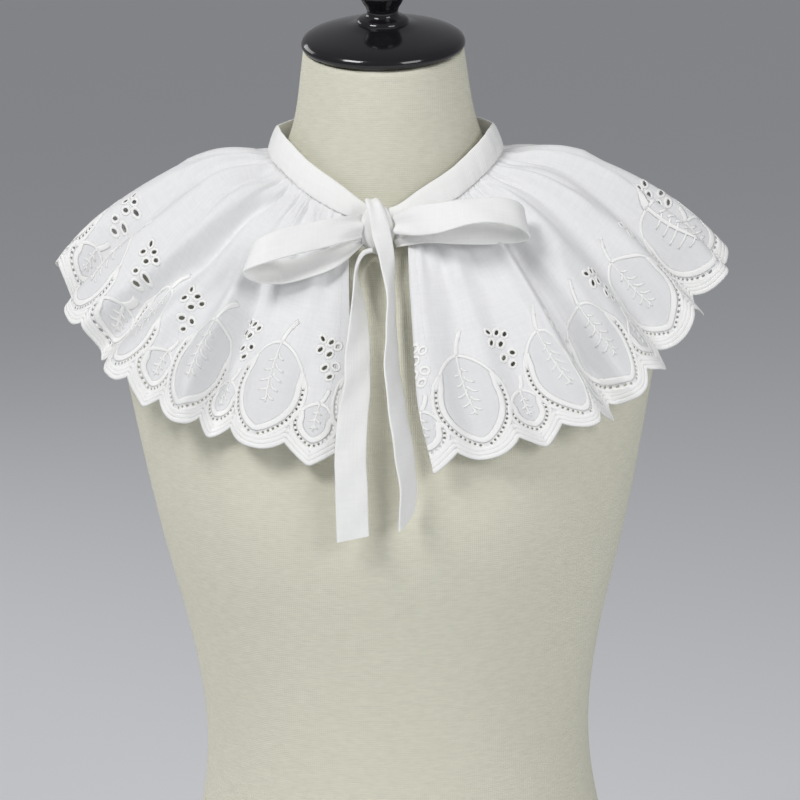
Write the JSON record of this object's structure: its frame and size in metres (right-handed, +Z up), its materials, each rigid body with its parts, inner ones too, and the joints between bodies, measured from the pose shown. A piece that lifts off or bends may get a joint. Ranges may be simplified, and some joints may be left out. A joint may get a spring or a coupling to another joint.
{
  "type": "false collar on a dress form",
  "caption": "Gathered, scalloped eyelet false collar with a neckband tied in a front bow, lying on a plain limbless dress form with a turned cap.",
  "frame": {"origin": "centre of the dress form's flat base", "axes": "+Z up along the body, -Y towards the front opening and bow, +X towards the right as seen from the front"},
  "size_m": [0.4144, 0.2613, 0.7576],
  "materials": {
    "cape_left": "sheer embroidered cotton voile",
    "cape_right": "sheer embroidered cotton voile",
    "neckband": "plain cotton, double",
    "knot": "plain cotton, double",
    "loop_left": "plain cotton, double",
    "loop_right": "plain cotton, double",
    "tail_left": "plain cotton, double",
    "tail_right": "plain cotton, double",
    "form_torso": "linen cover, matt",
    "form_cap": "black gloss lacquer"
  },
  "bodies": {
    "root": {"cape_left": "cape_left", "cape_right": "cape_right", "neckband": "neckband", "knot": "knot", "loop_left": "loop_left", "loop_right": "loop_right", "tail_left": "tail_left", "tail_right": "tail_right", "form_torso": "form_torso", "form_cap": "form_cap"}
  },
  "joints": []
}
